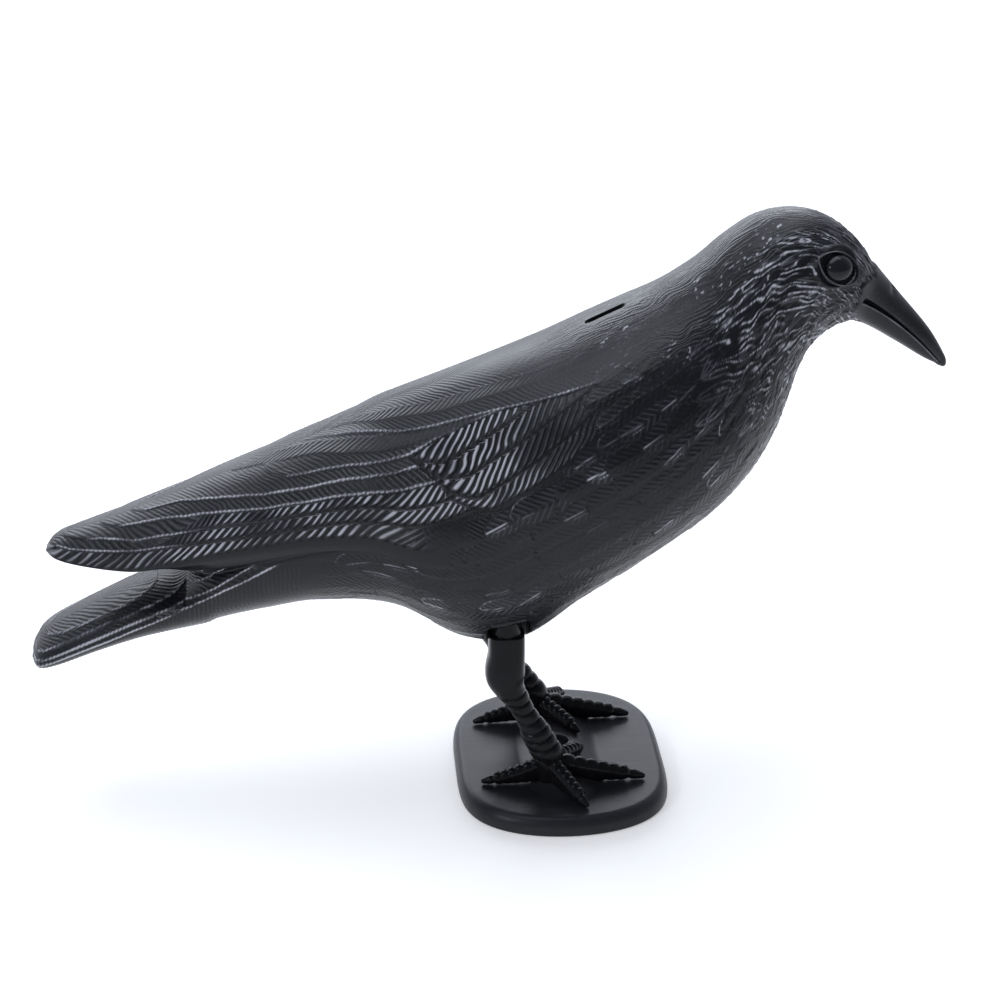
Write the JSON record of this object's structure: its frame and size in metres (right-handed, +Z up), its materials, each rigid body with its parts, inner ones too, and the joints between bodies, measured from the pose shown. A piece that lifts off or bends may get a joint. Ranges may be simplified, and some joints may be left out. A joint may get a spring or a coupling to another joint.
{
  "type": "garden crow ornament",
  "caption": "Hollow moulded plastic crow standing on its legs on a broad rounded base plate with a hole in the middle, for a garden, balcony or roof.",
  "frame": {"origin": "on the floor, below the middle of the object's length and width", "axes": "+X forwards to the tip of the beak, +Y to the bird's left, +Z up"},
  "size_m": [0.3702, 0.111, 0.2459],
  "materials": {
    "body_plastic": "satin black, moulded feathers",
    "leg_plastic": "glossy black",
    "base_plastic": "satin black"
  },
  "bodies": {
    "root": {"crow_body": "body_plastic", "right_leg": "leg_plastic", "left_leg": "leg_plastic", "base_plate": "base_plastic"}
  },
  "joints": []
}
